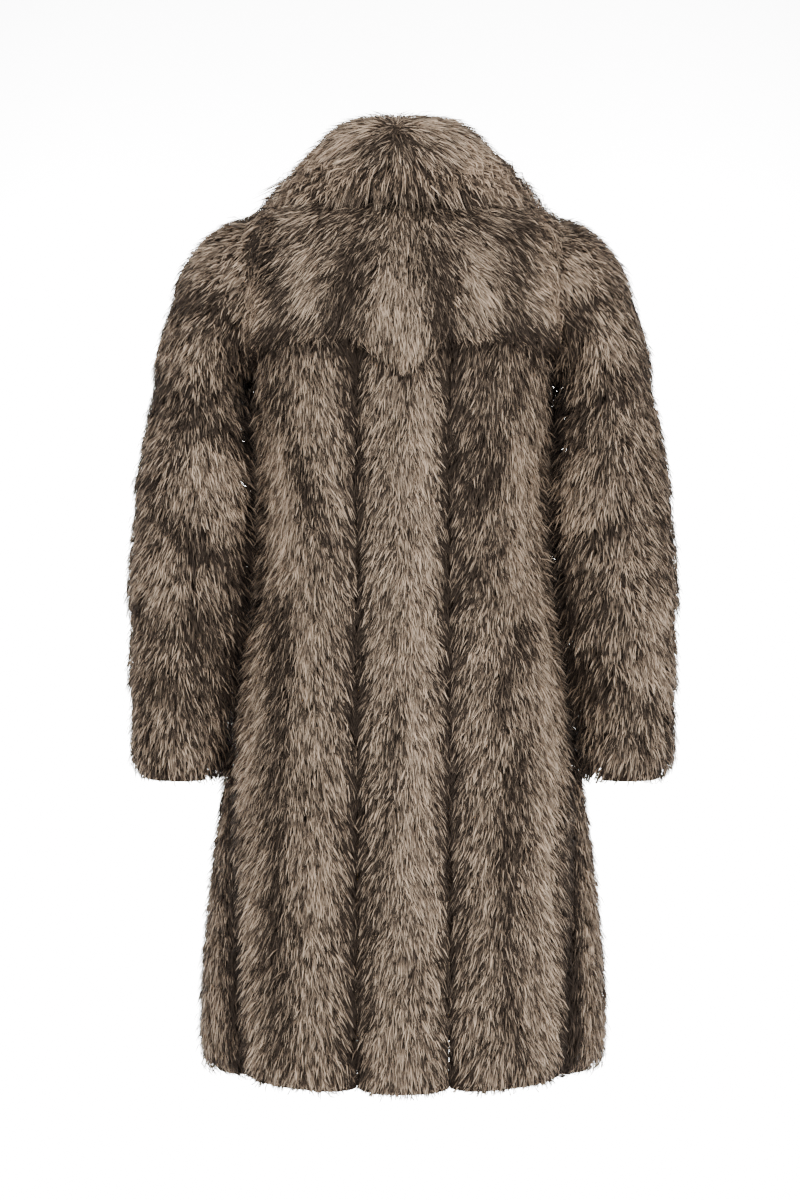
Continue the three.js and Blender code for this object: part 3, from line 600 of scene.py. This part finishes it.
# Sleeves: slanting bands of skins, each band's hair falling over the next, and
# parting along the middle of the arm's back to the outer and the inner side.
SLEEVE_MARKS = [  # tone, half width, then the line's points across and up
    (0.42, 0.028, [(0.225, -0.07), (0.195, -0.09)]),
    (0.42, 0.028, [(-0.175, -0.08), (-0.21, -0.11)]),
    (-0.38, 0.010, [(0.228, -0.055), (0.215, -0.07)]),
    (-0.55, 0.014, [(0.25, -0.13), (0.225, -0.135), (0.205, -0.165), (0.18, -0.185)]),
    (-0.55, 0.014, [(-0.235, -0.12), (-0.21, -0.145), (-0.18, -0.18)]),
    (0.20, 0.020, [(0.27, -0.19), (0.25, -0.20)]),
    (0.24, 0.020, [(-0.235, -0.19), (-0.255, -0.20)]),
    (-0.52, 0.013, [(0.29, -0.22), (0.265, -0.25), (0.24, -0.268), (0.21, -0.28), (0.18, -0.295)]),
    (-0.52, 0.013, [(-0.275, -0.215), (-0.25, -0.24), (-0.22, -0.25), (-0.18, -0.29)]),
    (0.25, 0.026, [(0.22, -0.33), (0.20, -0.37)]),
    (0.26, 0.024, [(-0.20, -0.34), (-0.21, -0.38)]),
    (-0.32, 0.009, [(0.30, -0.35), (0.275, -0.38)]),
    (-0.48, 0.012, [(0.26, -0.41), (0.225, -0.425), (0.185, -0.45)]),
    (-0.48, 0.011, [(-0.26, -0.39), (-0.205, -0.42), (-0.18, -0.445)]),
    (0.24, 0.018, [(0.30, -0.46), (0.285, -0.49)]),
    (0.24, 0.018, [(-0.295, -0.49), (-0.295, -0.57)]),
    (-0.45, 0.011, [(0.305, -0.495), (0.285, -0.52), (0.245, -0.515)]),
    # the next two broad dark lines, low on the arm's inner side, are painted shade next to the coat
    (-0.28, 0.022, [(0.22, -0.50), (0.225, -0.58)]),
    (-0.28, 0.022, [(-0.21, -0.48), (-0.215, -0.58)]),
    (-0.35, 0.011, [(0.29, -0.59), (0.25, -0.59)]),
    (-0.32, 0.011, [(-0.28, -0.60), (-0.23, -0.59)]),
]
CUFF_FRINGE = (lambda p: p[:, 2] < -0.63, 0.007, 0.015, ())
BODY_SIDES = [f"{part}_{side}" for part in ("back_side", "side_gore", "front_side") for side in SIDES]


def outer_share(point):
    """How far a point of a sleeve faces away from the coat, -1 to 1, with the directions down the arm and out."""
    middle, down = arm_middle(point)
    side = np.where(point[:, 0] < 0, -1.0, 1.0)
    out = np.stack([np.abs(down[:, 2]) * side, np.zeros(len(point)), np.abs(down[:, 0])], 1)
    return (unit(point - middle) * out).sum(1), down, out, side


def sleeve_flow(point):
    """Hair runs down the arm and swings to its outer and inner side; on the shoulder it falls outwards."""
    share, down, out, side = outer_share(point)
    top = np.clip((point[:, 2] + 0.20) / 0.08, 0, 1)[:, None]
    fall = np.stack([0.6 * side, np.zeros(len(point)), np.full(len(point), -0.8)], 1)
    return (down + 0.75 * share[:, None] * out) * (1 - top) + fall * top


def sleeve_tone(point):
    """Natural mottling along the bands, the arm's own marks, and painted shade on the side next to the body."""
    mottle = 0.07 * clouds(point * (1, 1, 0.7), 0.05, 15) + 0.08 * clouds(point * (1, 1, 0.8), 0.014, 16)
    # painted shade on the arm's side next to the body, low on the arm, where arm and coat hide each other's light
    inner = np.clip((-outer_share(point)[0] - 0.5) / 0.5, 0, 1) * np.clip((-0.20 - point[:, 2]) / 0.1, 0, 1)
    return np.maximum(0.20 + mottle + marked(point, SLEEVE_MARKS) - 0.28 * inner, -0.28)


for number, side in enumerate(SIDES):
    fur(f"sleeve_{side}", 225000, 0.026, sleeve_flow, sleeve_tone, 71 + number, [CUFF_FRINGE], BODY_SIDES, 0.18)

# Collar: one broad shawl, standing round the neck and folded over on the
# shoulders. Its hair runs out from a whorl at the nape, over the fold.
COLLAR_MARKS = [  # tone, half width, then the line's points across and up
    (-0.40, 0.020, [(0.03, 0.045), (-0.02, 0.05)]),
    (-0.40, 0.010, [(0.005, 0.085), (0.005, 0.06)]),
    # the thin dark line along the lower edge is painted shadow where the collar's hair ends over the yoke
    (-0.16, 0.006, [(0.10, -0.002), (0.04, 0.006), (-0.04, 0.006), (-0.10, -0.004)]),
    (0.32, 0.020, [(0.10, 0.055), (0.06, 0.08)]),
    (0.32, 0.020, [(-0.05, 0.075), (-0.09, 0.05)]),
    (0.20, 0.024, [(0.13, 0.02), (0.10, 0.03)]),
    (0.20, 0.020, [(-0.10, 0.03), (-0.125, 0.0)]),
]
WHORL = (0.005, 0.09, 0.062)
SHOULDERS = ("yoke", "front_side_left", "front_side_right", "front_edge_left", "front_edge_right", *ARMS)
COLLAR_FRINGES = [  # over the yoke, over the shoulders, and shortest over the chest
    (lambda p: (np.hypot(p[:, 0], p[:, 1]) > 0.105) & (p[:, 1] > 0.05) & (np.abs(p[:, 0]) < 0.05), 0.030, 0.03, ("yoke",)),
    (lambda p: (np.hypot(p[:, 0], p[:, 1]) > 0.105) & (p[:, 1] > -0.06) & (np.abs(p[:, 0]) > 0.05), 0.026, 0.03, SHOULDERS),
    (lambda p: (np.hypot(p[:, 0], p[:, 1]) > 0.105) & (p[:, 1] < -0.06), 0.008, 0.02, SHOULDERS),
]


def collar_flow(point):
    """On the back straight away from the whorl at the nape, further round away from the neck and down."""
    away = unit(point - WHORL) + (0, 0, -0.25)
    out = unit((point - (0, -0.02, 0)) * (1, 1.1, 0)) * 0.9 + (0, 0, -0.8)
    share = np.clip((point[:, 1:2] + 0.02) / 0.08, 0, 1)
    return away * share + out * (1 - share)


def collar_tone(point):
    """Natural mottling with the whorl's dark roots."""
    mottle = 0.07 * clouds(point, 0.04, 17) + 0.08 * clouds(point, 0.013, 18)
    return np.maximum(0.23 + mottle + marked(point, COLLAR_MARKS), -0.28)


fur("collar", 340000, 0.034, collar_flow, collar_tone, 81, COLLAR_FRINGES, streaks=0.34)

# The room: a pale floor that sweeps up 7 m behind, where two tall lamps light
# it, soft daylight from all round, and the camera square to the coat's back.


def sweep():
    """Floor and wall in one sheet: flat, then a quarter circle of 1.5 m radius, then straight up."""
    bend = np.radians(np.linspace(0, 90, 25))
    depth = np.concatenate([[14.0], -5.5 - 1.5 * np.sin(bend), [-7.0]])
    height = np.concatenate([[0.0], 1.5 - 1.5 * np.cos(bend), [30.0]]) - 3.45
    across = np.linspace(-14, 14, 5)
    point = np.stack(np.broadcast_arrays(across[:, None], depth, height), 2).reshape(-1, 3)
    i, j = np.meshgrid(np.arange(4), np.arange(len(depth) - 1), indexing="ij")
    a = (i * len(depth) + j).ravel()
    faces = np.stack([a, a + len(depth), a + len(depth) + 1, a + 1], 1)
    mesh = bpy.data.meshes.new("floor")
    mesh.from_pydata(point.tolist(), [], faces.tolist())
    mesh.shade_smooth()
    floor = bpy.data.objects.new("floor", mesh)
    bpy.context.scene.collection.objects.link(floor)
    material, principled = shader("pale_floor", 0.9, specular=0.1)
    principled.inputs["Base Color"].default_value = (0.93, 0.93, 0.93, 1)
    mesh.materials.append(material)


sweep()


def light(name, place, target, wide, tall, power):
    """A broad soft light that looks at a target."""
    data = bpy.data.lights.new(name, "AREA")
    data.shape = "RECTANGLE"
    data.size, data.size_y, data.energy = wide, tall, power
    lamp = bpy.data.objects.new(name, data)
    lamp.location = place
    lamp.visible_camera = False
    lamp.rotation_euler = (Vector(target) - Vector(place)).to_track_quat("-Z", "Y").to_euler()
    bpy.context.scene.collection.objects.link(lamp)


light("key", (1.4, 3.2, 1.9), (0, 0, -0.5), 1.6, 1.6, 98)
light("fill", (-2.0, 2.6, -0.9), (0, 0, -0.75), 2.0, 2.0, 62)
light("front", (0.8, -2.6, 1.6), (0, 0, -0.5), 1.8, 1.8, 12)
for side in (-1, 1):
    light("wall_wash", (side * 1.9, -4.9, -0.5), (-side * 0.3, -7.0, -0.5), 0.8, 4.0, 1500)

world = bpy.data.worlds.new("daylight")
world.use_nodes = True
world.node_tree.nodes["Background"].inputs["Color"].default_value = (1, 1, 1, 1)
world.node_tree.nodes["Background"].inputs["Strength"].default_value = 0.85
bpy.context.scene.world = world

lens = bpy.data.cameras.new("camera")
lens.lens, lens.sensor_width, lens.clip_end = 75, 36, 50
camera = bpy.data.objects.new("camera", lens)
camera.location = (0.0036, 3.0, -0.470)
camera.rotation_euler = (math.radians(90), 0, math.radians(180))
bpy.context.scene.collection.objects.link(camera)
bpy.context.scene.camera = camera
